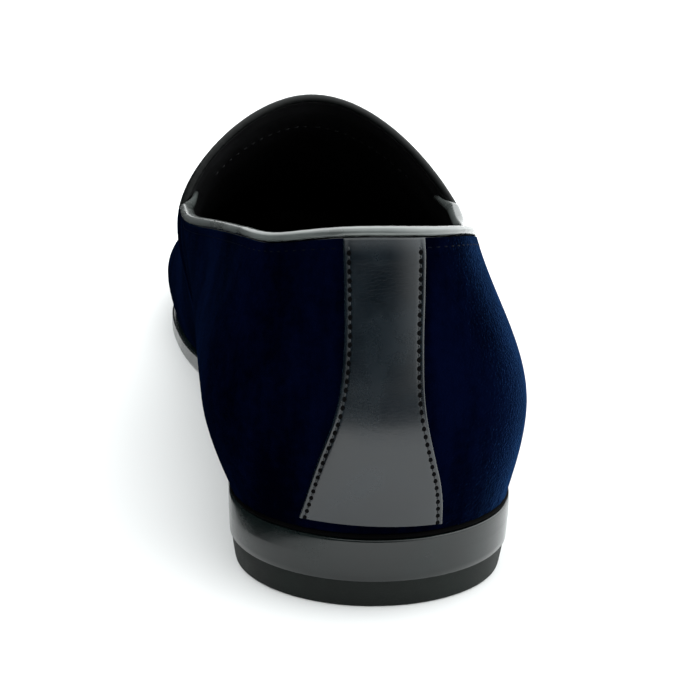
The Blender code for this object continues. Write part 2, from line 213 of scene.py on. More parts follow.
def column(station, levels):    # level 0 at the seat, 1 at the topline or shoulder, 2 at the ridge
    ridge, slope = ridgePoint(station)
    knots = np.array([linePoint(line, station) for line in ("seat", "girth", "top")] + [ridge])
    outward, rise = np.array((math.copysign(1.0, station), 0.0)), 0.0
    if abs(station) > last["toeTurn"]:
        outward = knots[2][:2] - ridge[:2]
        outward = outward / np.linalg.norm(outward)
        rise = -slope * outward[1]
    lengths = np.linalg.norm(np.diff(knots, axis=0), axis=1)
    at = np.concatenate(([0.0], np.cumsum(lengths)))
    chords = np.diff(knots, axis=0) / lengths[:, None]
    tangents = np.zeros((4, 3))
    for i in (1, 2):
        before, after = lengths[i - 1], lengths[i]
        tangents[i] = (chords[i - 1] * after + chords[i] * before) / (before + after)
    past = (abs(station) - last["breast"]) / (last["throat"] - last["breast"])
    taut = last["collarTautness"] * (1 - ease(past))
    tangents[2] = tangents[2] + taut * (chords[1] - tangents[2])
    tangents[0] = (3 * chords[0] - tangents[1]) / 2
    tangents[3] = last["crownFullness"] * np.array((-outward[0], -outward[1], rise))
    levels = np.asarray(levels, float)
    place = np.where(levels <= 1, levels * at[2], at[2] + (levels - 1) * lengths[2])
    i = np.clip(np.searchsorted(at, place) - 1, 0, 2)
    span = lengths[i][:, None]
    t = (place - at[i])[:, None] / span
    return cubic(knots[i], knots[i + 1], tangents[i] * span, tangents[i + 1] * span, t)


def wrapped(station):
    if abs(station) > last["length"]:
        return station - math.copysign(2 * last["length"], station)
    return station


def skin(station, levels, out=0.0):     # points of the outer face, moved out, and their normals
    levels = np.asarray(levels, float)
    ahead = column(wrapped(station + nudge["station"]), levels)
    behind = column(wrapped(station - nudge["station"]), levels)
    above = column(station, np.minimum(levels + nudge["level"], 2.0))
    below = column(station, np.maximum(levels - nudge["level"], 0.0))
    normals = np.cross(ahead - behind, above - below)
    normals[levels >= 2] = (0.0, -ridgePoint(station)[1], 1.0)
    normals[levels <= 0, 2] = 0.0
    normals /= np.linalg.norm(normals, axis=1)[:, None]
    return column(station, levels) + normals * np.broadcast_to(out, levels.shape)[:, None], normals


def outline(station, out):      # the seat's outline in plan
    ahead, behind = (linePoint("seat", wrapped(station + step))[:2]
                     for step in (nudge["station"], -nudge["station"]))
    tangent = (ahead - behind) / np.linalg.norm(ahead - behind)
    return linePoint("seat", station)[:2] + out * np.array((tangent[1], -tangent[0]))


def overhang(station):
    share = ease((abs(station) - last["breast"]) / (last["tread"][0] - last["breast"]))
    return last["overhangHeel"] * (1 - share) + last["overhangBall"] * share


def bothSides(stations):
    return list(stations) + [-s for s in reversed(stations) if 0 < s < last["length"]]


def stationRuns(*runs):         # joins (start, end, count) runs without repeating their ends
    laid = [list(np.linspace(a, b, n)) for a, b, n in runs]
    return [s for run in laid[:-1] for s in run[:-1]] + laid[-1]


# The frame's origin is the middle of the footprint, so the heel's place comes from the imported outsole
soleLow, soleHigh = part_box("outsole")
plan = np.array([outline(s, overhang(s)) for s in bothSides(np.linspace(0, last["length"], 400))])
origin = np.array(((soleLow[0] + soleHigh[0]) / 2, (soleLow[1] + soleHigh[1]) / 2, 0.0))
origin[:2] -= (plan.min(axis=0) + plan.max(axis=0)) / 2 * mm
print("the last is laid in the frame at", [round(v, 5) for v in origin])


# Shader values that take part in plain Python sums
class Wire:
    def __init__(self, look, socket):
        self.look, self.socket = look, socket

    def sum(self, operation, first, second):
        return self.look.node("ShaderNodeMath", {"operation": operation}, {0: first, 1: second})

    def __add__(self, other):
        return self.sum("ADD", self, other)

    def __mul__(self, other):
        return self.sum("MULTIPLY", self, other)

    __radd__, __rmul__ = __add__, __mul__


class Look:
    def __init__(self, name, world=False):
        kind = bpy.data.worlds if world else bpy.data.materials
        self.material = kind.new(name)
        self.material.use_nodes = True
        self.tree = self.material.node_tree
        self.tree.nodes.clear()

    def node(self, kind, settings=None, inputs=None, out=0):
        made = self.tree.nodes.new(kind)
        for key, value in (settings or {}).items():
            setattr(made, key, value)
        for key, value in (inputs or {}).items():
            if isinstance(value, Wire):
                self.tree.links.new(value.socket, made.inputs[key])
            else:
                made.inputs[key].default_value = value
        return None if out is None else Wire(self, made.outputs[out])

    def place(self):
        return self.node("ShaderNodeTexCoord", out="Object")

    def split(self, kind, value):       # the parts of a vector or a colour
        first = self.node(kind, {}, {0: value})
        return [Wire(self, socket) for socket in first.socket.node.outputs]

    def noise(self, scale, detail=2.0, rough=0.5, at=None):
        inputs = {"Vector": at or self.place(), "Scale": scale, "Detail": detail, "Roughness": rough}
        return self.node("ShaderNodeTexNoise", {}, inputs)

    def spread(self, value, low, high, to=(0.0, 1.0)):
        return self.node("ShaderNodeMapRange", {"interpolation_type": "SMOOTHSTEP"},
                         {0: value, 1: low, 2: high, 3: to[0], 4: to[1]})

    def blend(self, first, second, factor):
        first, second = ((*c, 1.0) if isinstance(c, tuple) else c for c in (first, second))
        inputs = {0: factor, 6: first, 7: second}
        return self.node("ShaderNodeMix", {"data_type": "RGBA"}, inputs, out=2)

    def bump(self, height, distance, normal=None):
        inputs = {"Height": height, "Distance": distance, "Strength": 1.0}
        if normal:
            inputs["Normal"] = normal
        return self.node("ShaderNodeBump", {}, inputs)

    def surface(self, shader):
        self.node("ShaderNodeOutputMaterial", {}, {"Surface": shader}, out=None)
        return self.material

    def principled(self, inputs):
        return self.surface(self.node("ShaderNodeBsdfPrincipled", {}, inputs))


# The velvet: its pile, the strokes brushed into it, and its sheen, cut down on the inner side as painted
# shade
nap = {
    "pile": 1500.0,             # grains of the pile, per metre
    "pileDepth": 0.0003,
    "clumps": 420.0,
    "clumpDepth": 0.0001,
    "clumpShare": 0.35,
    "middle": (0.3, 0.7),       # the range in which most of a noise lies
    "shadeOver": (0.5, 0.95),
    "strokes": (75.0, 40.0, 16.0),
    "strokeShade": (0.55, 1.15),
    "deep": (0.00012, 0.00022, 0.0018),
    "bright": (0.0005, 0.0013, 0.0085),
    "sheen": (0.034, 0.105, 0.3, 1.0),
    "sheenRough": 0.25,
    "shaded": 0.07,             # share of the sheen left on the inner side: painted shade
    "lit": 1.4,
    "turn": (-0.4, 1.0),        # where the painted shade gives way to full sheen, by how far the surface faces the outer side
    "grain": 0.55,              # share of the sheen left between the grains
    "lint": (0.02, 0.05, 0.11),
    "lintScale": 75.0,
    "lintSize": (0.014, 0.026),
    "lintFrom": (0.78, 0.8),    # only this share of the spots shows
}


def velvetLook():
    look = Look("navyVelvet")
    pile = look.noise(nap["pile"], 2.0, 0.7)
    clumps = look.noise(nap["clumps"], 3.0, 0.6)
    drawn = look.node("ShaderNodeMapping", {}, {"Vector": look.place(), "Scale": nap["strokes"]})
    strokes = look.noise(1.0, 4.0, 0.6, drawn)
    shade = look.spread(strokes + clumps * nap["clumpShare"], *nap["shadeOver"])
    spots = look.node("ShaderNodeTexVoronoi", {}, {"Vector": look.place(), "Scale": nap["lintScale"]})
    chosen = look.split("ShaderNodeSeparateColor", Wire(look, spots.socket.node.outputs["Color"]))[0]
    lint = look.spread(spots, *nap["lintSize"], (1.0, 0.0)) * look.spread(chosen, *nap["lintFrom"])
    colour = look.blend(look.blend(nap["deep"], nap["bright"], shade), nap["lint"], lint)
    bump = look.bump(clumps, nap["clumpDepth"], look.bump(pile, nap["pileDepth"]))
    plain = {"Base Color": colour, "Roughness": 1.0, "Specular IOR Level": 0.0, "Normal": bump}
    sheen = {"Sheen Weight": 1.0, "Sheen Roughness": nap["sheenRough"], "Sheen Tint": nap["sheen"]}
    noSheenCopy = look.node("ShaderNodeBsdfPrincipled", {}, plain)
    lit = look.node("ShaderNodeBsdfPrincipled", {}, {**plain, **sheen})
    # Painted shade: a copy without sheen is mixed in where the surface faces the inner side
    facing = look.split("ShaderNodeSeparateXYZ", look.node("ShaderNodeTexCoord", out="Normal"))[0]
    sheenAndPaintedShade = look.spread(facing, *nap["turn"], (nap["shaded"], nap["lit"]))
    sheenAndPaintedShade = sheenAndPaintedShade * look.spread(strokes, *nap["middle"], nap["strokeShade"])
    sheenAndPaintedShade = sheenAndPaintedShade * look.spread(pile, *nap["middle"], (nap["grain"], 1.0))
    return look.surface(look.node("ShaderNodeMixShader", {}, {0: sheenAndPaintedShade, 1: noSheenCopy, 2: lit}))


# Leathers, threads, paints and rubber share one surface: pores, a soft unevenness and a fine grain
hide = {
    "pores": 1400.0,            # per metre
    "poreDepth": 0.00002,
    "soft": 90.0,
    "fine": 2600.0,
    "fineDepth": 0.00003,
    "lighter": 1.8,             # the uneven parts of the colour are lighter by this and the next
    "lift": 0.0006,
    "glossier": 0.05,
    "duller": 0.09,
}
usual = {"rough": 0.5, "grain": 1.0, "coat": 0.0, "coatRough": 0.2, "specular": 0.5}
paint = {"colour": (0.0012, 0.0036, 0.0036), "rough": 0.22, "grain": 0.2, "coat": 0.2,
         "coatRough": 0.12, "specular": 0.44}
finishes = {
    "blackLining": {"colour": (0.004, 0.004, 0.005), "rough": 0.6},
    "sockLeather": {"colour": (0.006, 0.006, 0.007)},
    # the binding's grey, far lighter than the other black leathers, is partly a painted highlight for
    # the roll's bright face
    "bindingLeather": {"colour": (0.055, 0.062, 0.06), "rough": 0.28, "grain": 0.4, "coat": 1.0,
                       "coatRough": 0.14},
    "tongueEdge": {"colour": (0.0015, 0.002, 0.002), "rough": 0.42, "grain": 0.4, "coatRough": 0.14,
                   "specular": 0.3},
    "strapLeather": {"colour": (0.0016, 0.0042, 0.0066), "rough": 0.22, "grain": 0.35, "coat": 0.35,
                     "coatRough": 0.18},
    "blackThread": {"colour": (0.016, 0.018, 0.02), "rough": 0.45, "grain": 0.3, "specular": 0.4},
    "seamThread": {"colour": (0.0006, 0.001, 0.003), "rough": 0.45, "grain": 0.3, "specular": 0.02},
    "archThread": {"colour": (0.008, 0.009, 0.01), "rough": 0.45, "grain": 0.3, "specular": 0.3},
    # the holes' dark, matte finish is painted shade
    "stitchHole": {"colour": (0.0008, 0.0008, 0.001), "rough": 0.8, "grain": 0.2, "specular": 0.04},
    "edgePaint": paint,
    "heelPaint": paint,
    # the bead's near-black, matte finish is partly painted shade
    "beadPaintAndShade": {"colour": (0.0004, 0.0004, 0.0005), "rough": 0.7, "grain": 0.4, "specular": 0.02},
    "heelRubber": {"colour": (0.0036, 0.0056, 0.0048), "rough": 0.6, "grain": 1.2, "specular": 0.18},
}


def finishLook(name):
    finish = {**usual, **finishes[name]}
    colour, rough = finish["colour"], finish["rough"]
    look = Look(name)
    pores = look.node("ShaderNodeTexVoronoi", {"feature": "DISTANCE_TO_EDGE"},
                      {"Vector": look.place(), "Scale": hide["pores"]})
    soft = look.noise(hide["soft"], 3.0, 0.5)
    fine = look.noise(hide["fine"], 3.0, 0.6)
    lighter = tuple(min(1.0, c * hide["lighter"] + hide["lift"]) for c in colour)
    tone = look.blend(colour, lighter, look.spread(soft, 0.35, 0.7))
    gloss = look.spread(soft + fine * 0.25, 0.4, 0.9, (rough - hide["glossier"], rough + hide["duller"]))
    bump = look.bump(look.spread(pores, 0.0, 0.12), hide["poreDepth"] * finish["grain"])
    bump = look.bump(fine, hide["fineDepth"] * finish["grain"], bump)
    return look.principled({"Base Color": tone, "Roughness": gloss, "Normal": bump,
                            "Coat Weight": finish["coat"], "Coat Roughness": finish["coatRough"],
                            "Specular IOR Level": finish["specular"]})


# Meshes are gathered in lines of points and bridged
class Shape:
    def __init__(self):
        self.points, self.faces = [], []

    def line(self, points):
        first = len(self.points)
        self.points.extend(np.asarray(points))
        return list(range(first, len(self.points)))

    def bridge(self, lines, closed=False):
        pairs = list(zip(lines, lines[1:])) + ([(lines[-1], lines[0])] if closed else [])
        for a, b in pairs:
            self.faces += [(a[i], a[i + 1], b[i + 1], b[i]) for i in range(len(a) - 1)]

    def ringed(self, loops):    # closed loops joined in a row, with both ends filled
        self.bridge([loop + loop[:1] for loop in loops])
        self.faces += [tuple(loops[0]), tuple(loops[-1])]

    def make(self, name, look, slot, nodes=(), crease=35.0, merge=2e-6):
        mesh = bpy.data.meshes.new(name)
        mesh.from_pydata(np.array(self.points) * mm + origin, [], self.faces)
        shape = bmesh.new()
        shape.from_mesh(mesh)
        bmesh.ops.remove_doubles(shape, verts=shape.verts, dist=merge)
        bmesh.ops.recalc_face_normals(shape, faces=shape.faces)
        shape.to_mesh(mesh)
        shape.free()
        mesh.shade_smooth()
        mesh.set_sharp_from_angle(angle=math.radians(crease))
        mesh.materials.append(look)
        piece = bpy.data.objects.new(name, mesh)
        bpy.context.scene.collection.objects.link(piece)
        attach(piece, "root")
        if nodes:
            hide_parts(*nodes)


def circle(centre, across, up, radius, sides=8):
    angles = [2 * math.pi * k / sides for k in range(sides)]
    return [centre + (across * math.cos(a) + up * math.sin(a)) * radius for a in angles]


# The upper: velvet over a leather lining, open at the collar and over the seat
upper = {
    "split": -1.15,             # where the velvet ends and the lining begins, from the outer face
    "splitGap": 0.05,
    "quarter": ((0.0, 30.0, 60), (30.0, 118.0, 100)),
    "seamRise": ((118.0, 0.0), (118.05, 0.35), (118.2, 0.66), (118.5, 0.8)),
    "vamp": ((118.5, 232.0, 110), (232.0, 281.0, 60)),
    "velvetLevels": (56, 36),   # up the side and over the crown
    "liningLevels": (24, 16),
    "liningRelief": 0.3,        # share of the folds that shows inside
    "piping": {"at": 119.1, "width": 0.7, "height": 0.18},      # the vamp's folded edge stands up
}
# Soft folds: from and to a (station, level) on the surface, half width and height in mm (- is a trough)
folds = (
    {"from": (-104.0, 0.95), "to": (-84.0, 0.55), "width": 6.0, "height": -0.9},
    {"from": (-92.0, 1.0), "to": (-74.0, 0.62), "width": 5.0, "height": 0.5},
    {"from": (-66.0, 0.98), "to": (-50.0, 0.6), "width": 7.0, "height": -0.6},
    {"from": (-70.0, 0.3), "to": (-96.0, 0.12), "width": 7.0, "height": -0.7},
    {"from": (106.0, 0.95), "to": (88.0, 0.5), "width": 6.0, "height": -0.7},
    {"from": (78.0, 0.96), "to": (62.0, 0.66), "width": 6.0, "height": -0.45},
    {"from": (74.0, 0.26), "to": (98.0, 0.14), "width": 7.0, "height": -0.6},
    {"from": (150.0, 0.9), "to": (138.0, 1.7), "width": 7.0, "height": -0.5},
    {"from": (-150.0, 0.92), "to": (-140.0, 1.6), "width": 7.0, "height": -0.5},
    {"from": (172.0, 0.5), "to": (182.0, 1.2), "width": 6.0, "height": -0.4},
    {"from": (-168.0, 0.55), "to": (-178.0, 1.2), "width": 6.0, "height": -0.4},
)
foldEnd = {"fade": 0.6, "seat": 0.015, "topline": 0.05}     # weaker at the far end and near both edges
levelSpan = 58.0                # mm up the side for one level, near enough for placing folds
pucker = {"height": 0.06, "reach": 0.1, "waves": 190, "uneven": ((1.7, 0.11), (1.0, 0.043))}


def relief(station, levels):
    levels = np.asarray(levels, float)
    total = np.zeros(len(levels))
    for fold in folds:
        start = np.array((fold["from"][0], fold["from"][1] * levelSpan))
        way = np.array((fold["to"][0], fold["to"][1] * levelSpan)) - start
        place = np.stack((np.full(len(levels), station), levels * levelSpan), -1) - start
        t = np.clip(place @ way / (way @ way), 0, 1)
        away = np.linalg.norm(place - t[:, None] * way, axis=1)
        total += fold["height"] * np.exp(-(away / fold["width"]) ** 2) * (1 - foldEnd["fade"] * t)
    phase = pucker["waves"] * station / last["length"] * math.pi
    for size, rate in pucker["uneven"]:
        phase += size * math.sin(station * rate)
    total += pucker["height"] * math.sin(phase) * np.exp(-(levels / pucker["reach"]) ** 2)
    total *= np.clip(levels / foldEnd["seat"], 0, 1)
    if abs(station) < last["throat"] + 1:
        total *= np.clip(np.abs(levels - 1.0) / foldEnd["topline"], 0, 1)
    return total


def seamStep(station):          # the vamp lies over the quarters
    far = abs(station)
    if far <= last["throat"]:
        return 0.0
    for (a, low), (b, high) in zip(upper["seamRise"], upper["seamRise"][1:]):
        if far <= b:
            return low + (high - low) * (far - a) / (b - a)
    edge = upper["piping"]
    return last["vampStep"] + math.exp(-((far - edge["at"]) / edge["width"]) ** 2) * edge["height"]


def makeShell(name, finish, slot, outer, inner, sideLevels, crownLevels):
    quarter = stationRuns(*upper["quarter"])
    vamp = [s for s, rise in upper["seamRise"][1:-1]] + stationRuns(*upper["vamp"])
    stations = bothSides(quarter + vamp)
    side, crown = np.linspace(0, 1, sideLevels), np.linspace(1, 2, crownLevels)
    shape = Shape()
    out, back, crowns = [], [], []
    for station in stations:
        out.append(shape.line(skin(station, side, outer(station, side))[0]))
        back.append(shape.line(skin(station, side, inner(station, side))[0]))
        if abs(station) > last["throat"]:
            crowns.append((shape.line(skin(station, crown, outer(station, crown))[0]),
                           shape.line(skin(station, crown, inner(station, crown))[0])))
    shape.bridge(out, closed=True)
    shape.bridge(back, closed=True)
    shape.bridge([c[0] for c in crowns])
    shape.bridge([c[1] for c in crowns])
    shape.bridge([(o[0], i[0]) for o, i in zip(out, back)], closed=True)
    tops = [(o[-1], i[-1]) for o, i in zip(out, back)]
    shape.bridge(tops[:len(quarter) + 1])       # the topline, on the outer and on the inner side
    shape.bridge(tops[-len(quarter):] + tops[:1])
    shape.bridge(crowns[0])
    shape.bridge(crowns[-1])
    shape.make(name, finish, slot, ["upper"])


def makeVelvet():
    makeShell("velvet_upper", velvetLook(), "velvet",
              lambda s, v: seamStep(s) + relief(s, v),
              lambda s, v: np.full(len(v), upper["split"]),
              *upper["velvetLevels"])


def edgeThin(station):          # the wall is skived towards the tongue's edge
    near = (abs(station) - last["throat"] - last["seamSlope"]) / tongue["thinReach"]
    return tongue["thin"] * (1 - ease(near)) if abs(station) > last["throat"] else 0.0


def makeLining():
    makeShell("lining", finishLook("blackLining"), "sock_leather",
              lambda s, v: np.full(len(v), upper["split"] - upper["splitGap"]),
              lambda s, v: edgeThin(s) - last["wall"] + upper["liningRelief"] * relief(s, v),
              *upper["liningLevels"])


# Bindings: half width across the wall and half height above the edge
topline = {
    "across": 1.7,
    "up": 1.05,
    "sides": 18,
    "ripple": 0.012,
    "start": 13.0,              # the tips, before and past the throat
    "past": 3.6,
    "tuck": (10.0, 9.0),        # they turn in from this far before the throat, over this length
    "inward": 1.6,
    "tip": 0.75,
    "rise": (9.0, 13.0),        # and climb
    "climb": 2.8,
}
tongue = {
    "across": 1.05,
    "up": 0.75,
    "sides": 14,
    "ripple": 0.012,
    "levels": (1.01, 2.0, 120),
    "levelRun": 60,
    "thin": 0.8,
    "thinReach": 6.0,
}
squareness = 2.3                # 2 is a round roll
gathers = {"rate": 2.3, "wander": 2.0, "wanderRate": 0.31, "second": 0.6, "secondRate": 0.83}


def upTheWall(station, level):
    return column(station, [level])[0] - column(station, [level - nudge["edgeLevel"]])[0]


def towardsTheBack(station, level):
    behind = station * (1 - nudge["edgeStation"] / abs(station))
    return column(behind, [level])[0] - column(station, [level])[0]


def edgeFrame(station, level, heading):
    point, normal = (v[0] for v in skin(station, [level]))
    away = heading(station, level)
    away = away - normal * np.dot(away, normal)
    return point, normal, away / np.linalg.norm(away)


def rollRing(centre, out, up, size, grow, across):
    ring = []
    for k in range(size["sides"]):
        angle = 2 * math.pi * (k + 0.5) / size["sides"]
        c, s = math.cos(angle), math.sin(angle)
        fatness = (abs(c) ** squareness + abs(s) ** squareness) ** (-1 / squareness)
        ring.append(centre + out * (across + grow) * fatness * c
                    + up * (size["up"] + grow) * fatness * s)
    return ring


def rippleAt(run, size):        # uneven gathers of a leather edge that is turned over
    first = math.sin(run * gathers["rate"] + gathers["wander"] * math.sin(run * gathers["wanderRate"]))
    second = math.sin(run * gathers["secondRate"] + 1.0)
    return size["ripple"] * (first + gathers["second"] * second)


def makeToplineRoll():
    tips = last["throat"] - topline["start"], last["throat"] + topline["past"]
    half = stationRuns((0.0, last["heelTurn"], 90), (last["heelTurn"], tips[0], 100), (*tips, 40))
    shape = Shape()
    loops = []
    for station in [-s for s in reversed(half)] + half[1:]:
        point, normal, up = edgeFrame(station, 1.0, upTheWall)
        past = abs(station) - last["throat"]
        tucked, climbed = (ease((past + before) / over)
                           for before, over in (topline["tuck"], topline["rise"]))
        centre = point + up * (last["gap"] + topline["up"] + topline["climb"] * climbed)
        centre = centre - normal * (last["wall"] / 2 + tucked * topline["inward"])
        across = topline["across"] + tucked * (topline["tip"] - topline["across"])
        ripple = rippleAt(station, topline)
        loops.append(shape.line(rollRing(centre, normal, up, topline, ripple, across)))
    shape.ringed(loops)
    shape.make("topline_roll", finishLook("bindingLeather"), "binding_leather", ["topline_binding"])


def makeTongueEdge():
    edge = last["throat"] + last["seamSlope"]
    levels = list(np.linspace(*tongue["levels"]))
    inward = (last["vampStep"] + tongue["thin"] - last["wall"]) / 2
    shape = Shape()
    loops = []
    for side, run in ((1, levels), (-1, levels[-2::-1])):
        for level in run:
            point, normal, away = edgeFrame(side * edge, level, towardsTheBack)
            centre = point + away * (last["gap"] + tongue["up"]) + normal * inward
            ripple = rippleAt(side * level * tongue["levelRun"], tongue)
            loops.append(shape.line(rollRing(centre, normal, away, tongue, ripple, tongue["across"])))
    shape.ringed(loops)
    shape.make("tongue_edge", finishLook("tongueEdge"), "binding_leather", ["tongue_binding"])


# Stitches: a thread dips into the leather at both ends, and a hole is a shallow button whose dark, matte
# finish paints the shade inside it
threadForm = {"sides": 8, "steps": 6, "end": 0.45, "sunk": 0.8}
holeForm = ((0.5, -0.3), (1.0, 0.05), (0.85, 0.24), (0.35, 0.3))    # share of the radius, height


def addThread(shape, start, end, lift, radius):
    way = end - start
    length = np.linalg.norm(way)
    way = way / length
    side = np.cross(way, lift)
    side = side / np.linalg.norm(side)
    loops = []
    for k in range(threadForm["steps"] + 1):
        t = k / threadForm["steps"]
        bow = math.sin(math.pi * t)
        fat = radius * (threadForm["end"] + (1 - threadForm["end"]) * bow ** 0.5)
        centre = start + way * length * t + lift * (bow - threadForm["sunk"]) * radius
        loops.append(shape.line(circle(centre, side, lift, fat, threadForm["sides"])))
    shape.ringed(loops)


def addHole(shape, centre, normal, radius):
    side = np.cross(normal, (0.0, 0.3, 1.0))
    side = side / np.linalg.norm(side)
    other = np.cross(normal, side)
    shape.ringed([shape.line(circle(centre + normal * height * radius, side, other, radius * share))
                  for share, height in holeForm])


class Seam:                     # finds the point and the unit normal at a distance along a path
    def __init__(self, points, normals):
        self.points, self.normals = np.array(points), np.array(normals)
        steps = np.linalg.norm(np.diff(self.points, axis=0), axis=1)
        self.far = np.concatenate(([0.0], np.cumsum(steps)))
        self.length = self.far[-1]

    def at(self, distance):
        spot, lift = (np.array([np.interp(distance, self.far, rows[:, k]) for k in range(3)])
                      for rows in (self.points, self.normals))
        return spot, lift / np.linalg.norm(lift)


def addRow(shape, seam, size):
    half = size["length"] / 2
    for middle in np.arange(size["pitch"], seam.length, size["pitch"]):
        addThread(shape, seam.at(middle - half)[0], seam.at(middle + half)[0], seam.at(middle)[1],
                  size["thread"])


# Rows of stitches along the vamp's edge and under the topline, and faint ones inside the tongue
seams = {"vampIn": 2.2, "under": 1.7, "pitch": 2.3, "length": 1.5, "thread": 0.15, "lowest": 0.03,
         "sunk": 0.05}
arch = {"in": 18.0, "from": 1.25, "pitch": 2.6, "length": 1.7, "thread": 0.3, "sunk": 0.05}
rowEnd = 1.995                  # rows stop just short of the ridge


def makeSeamStitches():
    shape = Shape()
    place = last["throat"] + last["seamSlope"] + seams["vampIn"]
    for side in (-1, 1):
        levels = np.concatenate((np.linspace(seams["lowest"], 1, 90), np.linspace(1.01, rowEnd, 90)))
        depth = last["vampStep"] + relief(side * place, levels)
        addRow(shape, Seam(*skin(side * place, levels, depth)), seams)
    level = 1 - seams["under"] / levelSpan
    stations = stationRuns((0.0, last["heelTurn"], 40), (last["heelTurn"], last["throat"] - 1.0, 60))
    for side in (-1, 1):
        spots = []
        for station in [side * s for s in stations]:
            points, normals = skin(station, [level], relief(station, [level]) - seams["sunk"])
            spots.append((points[0], normals[0]))
        addRow(shape, Seam(*zip(*spots)), seams)
    shape.make("seam_stitches", finishLook("seamThread"), "velvet")


def makeArchStitches():
    shape = Shape()
    place = last["throat"] + last["seamSlope"] + arch["in"]
    for side in (-1, 1):
        levels = np.linspace(arch["from"], rowEnd, 160)
        points, normals = skin(side * place, levels, -last["wall"] - arch["sunk"])
        addRow(shape, Seam(points, -normals), arch)
    shape.make("tongue_stitches", finishLook("archThread"), "sock_leather")


# The back strap, its stitches and their holes
strapColumns = ("up", "half", "shift")
strapRows = (
    (0.0, 15.1, -1.8),
    (0.1, 14.3, -1.4),
    (0.17, 13.5, -1.35),
    (0.25, 12.25, -1.4),
    (0.43, 9.3, -1.0),
    (0.65, 8.2, -0.65),
    (0.8, 8.25, -0.6),
    (1.0, 8.4, -0.8),
)
strapTracks = tracks(strapColumns, strapRows)
strap = {
    "thick": 1.2,
    "body": 0.88,               # share of the thickness that the flat of the strap has
    "back": 0.08,               # its back lies this far off the velvet's smooth face
    "foot": 3.5,                # above the seat
    "slant": 0.6,               # the foot runs down towards the outer side
    "rows": 200,
    "ends": (0.0, 0.001, 0.003, 0.006, 0.01),
    "edges": (0.0, 0.06, 0.16, 0.32, 0.5, 0.7, 0.85, 1.0, 1.12, 1.25, 1.38, 1.5, 1.7, 2.0, 2.5),
    "middle": 14,
    "rounding": 0.45,           # how far in from the cut edge the surface is rounded over
    "plump": {"at": 0.6, "width": 0.4, "height": 0.12},         # the edge swells outside the stitches
    "groove": {"at": 1.25, "width": 0.36, "height": -0.12},     # the stitch line
    "pitch": 1.85,
    "thread": 0.21,
    "stitchLength": 0.85,
    "hole": 0.58,
    "over": 0.35,               # the top slips under the roll
    "dip": 0.8,                 # share of the thickness lost as the leather bends in under the roll
    "dipReach": 5.0,
}


class StrapField:               # finds the station and level for a place on the strap
    def __init__(self):
        self.levels = np.linspace(0, 1.03, 90)
        self.stations = np.linspace(-last["heelTurn"], last["heelTurn"], 61)
        grid = np.array([column(s, self.levels) for s in self.stations])
        self.heights, self.x = grid[len(self.stations) // 2, :, 2], grid[:, :, 0]
        self.low = underside(0.0) + last["sole"] + last["gap"] + strap["foot"]
        self.tall = float(np.interp(1.0, self.levels, self.heights)) + strap["over"] - self.low

    def half(self, up):
        return strapTracks["half"].at(up)[0]

    def at(self, across, up):   # across is -1 to 1 between the edges, up is 0 to 1 from foot to top
        slant = strap["slant"] * across * (1 - up) ** 6
        level = float(np.interp(self.low + up * self.tall - slant, self.heights, self.levels))
        xs = [np.interp(level, self.levels, row) for row in self.x]
        x = strapTracks["shift"].at(up)[0] + across * self.half(up)
        return float(np.interp(x, xs, self.stations)), level

    def depth(self, across, up):
        fromEdge, fromTop = (1 - abs(across)) * self.half(up), (1 - up) * self.tall
        nearest = min(fromEdge, fromTop, up * self.tall)
        rounding = 1 - (1 - min(nearest / strap["rounding"], 1.0)) ** 2
        face = strap["thick"] * math.sqrt(rounding) * strap["body"]
        for line in (strap["plump"], strap["groove"]):
            face += line["height"] * math.exp(-((fromEdge - line["at"]) / line["width"]) ** 2)
        return last["gap"] + face * (1 - strap["dip"] * max(0.0, 1 - fromTop / strap["dipReach"]) ** 2)

    def point(self, across, up, out):
        station, level = self.at(across, up)
        points, normals = skin(station, [level], out)
        return points[0], normals[0]


def makeStrap(field):
    ups = list(strap["ends"]) + list(np.linspace(0.014, 0.986, strap["rows"]))
    ups += [1 - up for up in reversed(strap["ends"])]
    shape = Shape()
    loops = []
    for up in ups:
        near = [1 - d / field.half(up) for d in strap["edges"]]
        inner = list(np.linspace(-near[-1], near[-1], strap["middle"]))
        outer, back = [], []
        for across in [-v for v in near[:-1]] + inner + near[-2::-1]:
            point, normal = field.point(across, up, 0.0)
            outer.append(point + normal * field.depth(across, up))
            back.append(point + normal * strap["back"])
        loops.append(shape.line(outer + back[::-1]))
    shape.ringed(loops)
    shape.make("strap_leather", finishLook("strapLeather"), "strap_leather", ["back_strap"])


def makeStrapStitches(field):   # one stitch line down each side
    threads, holes = Shape(), Shape()
    inset, half = strap["groove"]["at"], strap["stitchLength"] / 2
    for side in (-1, 1):
        spots = []
        for up in np.linspace(0.012, 1 - inset / field.tall, 260):
            across = side * (1 - inset / field.half(up))
            spots.append(field.point(across, up, field.depth(across, up)))
        seam = Seam(*zip(*spots))
        count = int(seam.length / strap["pitch"])
        for k in range(count):
            middle = (k + 0.5) * seam.length / count
            end, lift = seam.at(middle + half)
            addThread(threads, seam.at(middle - half)[0], end, lift, strap["thread"])
            addHole(holes, *seam.at(k * seam.length / count), strap["hole"])
    threads.make("strap_stitches", finishLook("blackThread"), "strap_leather")
    holes.make("strap_stitch_holes", finishLook("stitchHole"), "strap_leather")


